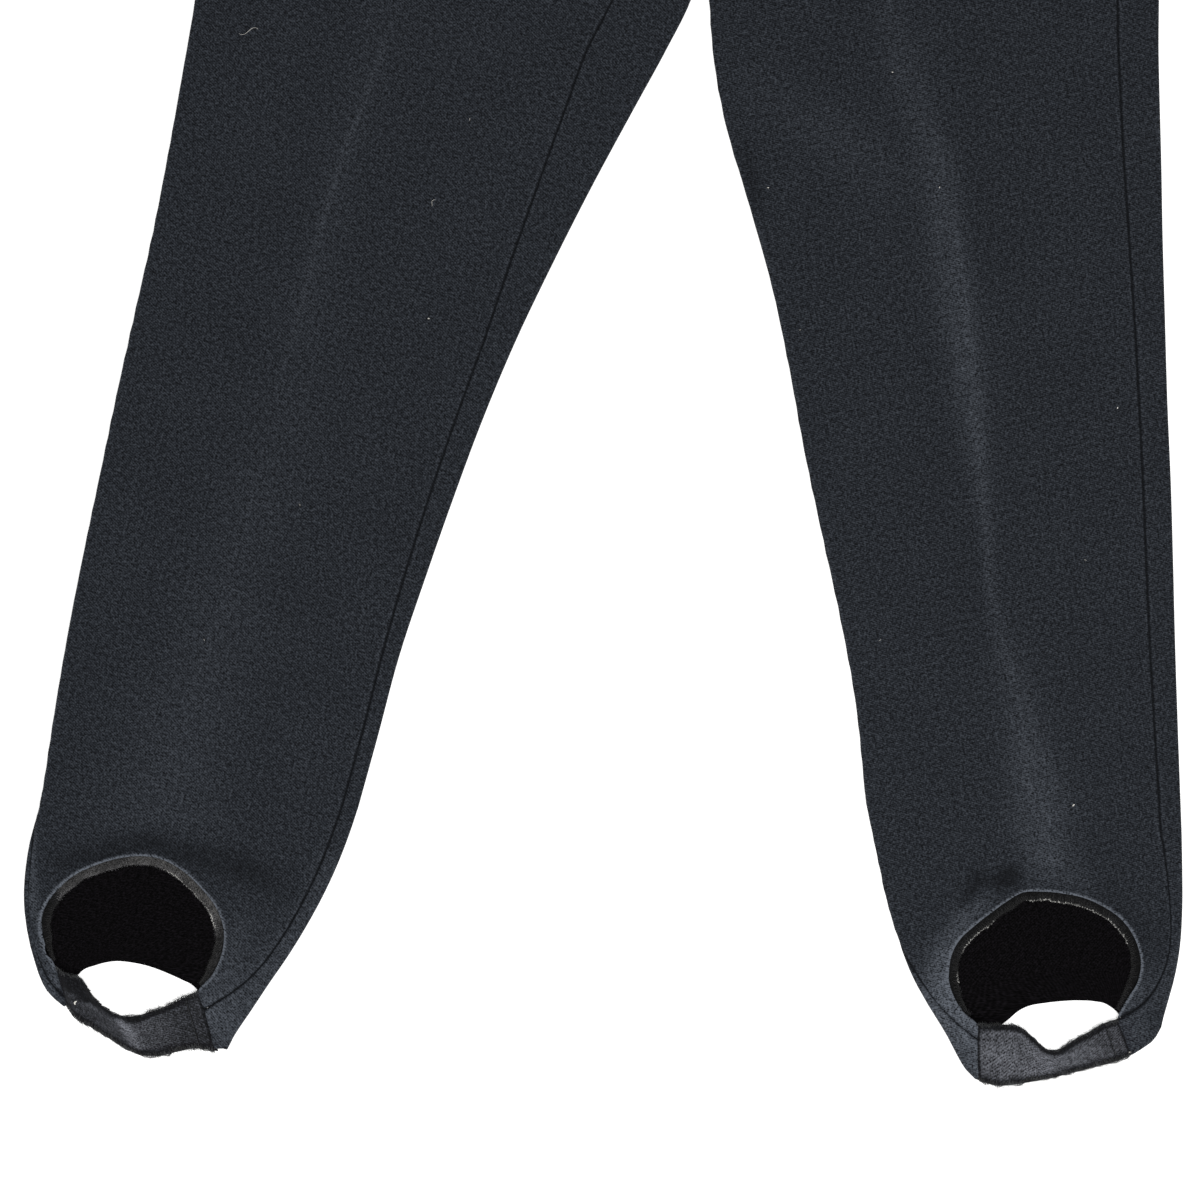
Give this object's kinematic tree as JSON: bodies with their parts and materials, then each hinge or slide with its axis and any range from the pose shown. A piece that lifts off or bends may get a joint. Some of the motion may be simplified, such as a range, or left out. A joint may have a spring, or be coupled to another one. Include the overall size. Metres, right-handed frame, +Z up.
{
  "type": "stirrup trousers",
  "caption": "Black stretch-twill stirrup trousers laid flat, front up: slim legs, arched hems with straps that go under the feet, and a buttoned waistband.",
  "frame": {"origin": "centre of the bounding box's underside, on the surface that the trousers lie on", "axes": "+X to the wearer's left, +Y to the waist, +Z up from the surface"},
  "size_m": [0.7176, 1.0116, 0.0103],
  "materials": {
    "black_twill": "fine stretch twill, soft sheen",
    "strap_twill": "brushed twill, overlocked edges",
    "facing_twill": "twill band, overlocked edge",
    "button_plastic": "moulded, satin"
  },
  "bodies": {
    "root": {"front_right": "black_twill", "front_left": "black_twill", "back_right": "black_twill", "back_left": "black_twill", "waistband": "black_twill", "button": "button_plastic", "stirrup_right": "strap_twill", "stirrup_left": "strap_twill", "instep_facing_right": "facing_twill", "instep_facing_left": "facing_twill"}
  },
  "joints": []
}
